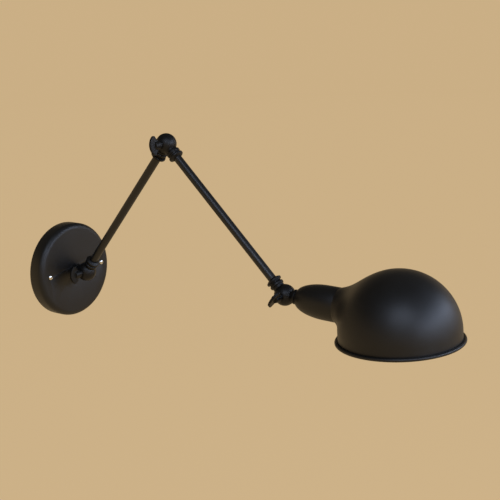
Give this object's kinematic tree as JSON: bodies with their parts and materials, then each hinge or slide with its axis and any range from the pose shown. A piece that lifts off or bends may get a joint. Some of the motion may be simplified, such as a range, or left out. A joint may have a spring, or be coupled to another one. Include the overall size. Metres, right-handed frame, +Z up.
{
  "type": "wall lamp with jointed arm",
  "caption": "Black wall lamp: a jointed tube arm with clamped ball knuckles carries a helmet-shaped metal shade over a screw lampholder, from a round canopy.",
  "frame": {"origin": "centre of the two wall screw slots, on the wall and on the canopy's axis", "axes": "+Y into the wall, -Y out into the room along the lamp's reach, +Z up, both arms in the plane x = 0"},
  "size_m": [0.166, 0.685, 0.3032],
  "materials": {
    "black_finish": "satin powder coat",
    "black_hardware": "black oxide",
    "bright_screws": "bright nickel",
    "zinc_steel": "zinc plated",
    "brass": "plain",
    "fibre": "vulcanised fibre",
    "nylon": "natural nylon",
    "phenolic": "moulded, dark brown",
    "wire": "sheathed wire"
  },
  "bodies": {
    "wall_plate": {"canopy": "black_finish", "mounting_bar": "zinc_steel", "canopy_screws": "bright_screws", "earth_screw": "brass"},
    "swivel": {"base_stub_half": "black_finish", "base_nipple": "zinc_steel", "base_fibre_washer": "fibre", "base_nipple_nut": "zinc_steel", "base_friction_washer": "nylon", "mains_leads": "wire"},
    "lower_arm": {"base_arm_half": "black_finish", "lower_arm_tube": "black_finish", "lower_arm_lock_rings": "black_finish", "elbow_lower_half": "black_finish", "elbow_friction_washer": "nylon", "base_clamp_bolt": "black_hardware", "elbow_clamp_bolt": "black_hardware", "base_bolt_washers": "black_hardware", "elbow_bolt_washers": "black_hardware", "lower_arm_leads": "wire"},
    "upper_arm": {"elbow_upper_half": "black_finish", "upper_arm_tube": "black_finish", "upper_arm_lock_rings": "black_finish", "head_arm_half": "black_finish", "head_friction_washer": "nylon", "upper_arm_leads": "wire"},
    "head": {"head_cup_half": "black_finish", "head_clamp_bolt": "black_hardware", "head_bolt_washers": "black_hardware", "cup_nipple": "zinc_steel", "cup_nut": "zinc_steel", "cup": "black_finish", "holder_cap": "phenolic", "holder_barrel": "phenolic", "screw_shell": "brass", "centre_contact": "brass", "shade_ring": "phenolic", "shade": "black_finish", "socket_leads": "wire"},
    "base_nut": {"base_wing_nut": "black_hardware"},
    "elbow_nut": {"elbow_wing_nut": "black_hardware"},
    "head_nut": {"head_wing_nut": "black_hardware"}
  },
  "joints": [
    {"name": "base_swivel", "type": "hinge", "parent": "wall_plate", "child": "swivel", "pos_m": [0, 0, 0], "axis": [0, -1, 0], "range_deg": [-170, 170]},
    {"name": "base_tilt", "type": "hinge", "parent": "swivel", "child": "lower_arm", "pos_m": [0, -0.048, 0], "axis": [-1, 0, 0], "range_deg": [-139, 40]},
    {"name": "elbow", "type": "hinge", "parent": "lower_arm", "child": "upper_arm", "pos_m": [0, -0.22947, 0.21323], "axis": [1, 0, 0], "range_deg": [-198, 9]},
    {"name": "head_tilt", "type": "hinge", "parent": "upper_arm", "child": "head", "pos_m": [0, -0.4285, 0.01628], "axis": [-1, 0, 0], "range_deg": [-146, 61]},
    {"name": "base_nut_turn", "type": "hinge", "parent": "lower_arm", "child": "base_nut", "pos_m": [0, -0.048, 0], "axis": [-1, 0, 0], "range_deg": [0, 360]},
    {"name": "elbow_nut_turn", "type": "hinge", "parent": "lower_arm", "child": "elbow_nut", "pos_m": [0, -0.22947, 0.21323], "axis": [-1, 0, 0], "range_deg": [0, 360]},
    {"name": "head_nut_turn", "type": "hinge", "parent": "head", "child": "head_nut", "pos_m": [0, -0.4285, 0.01628], "axis": [-1, 0, 0], "range_deg": [0, 360]}
  ]
}
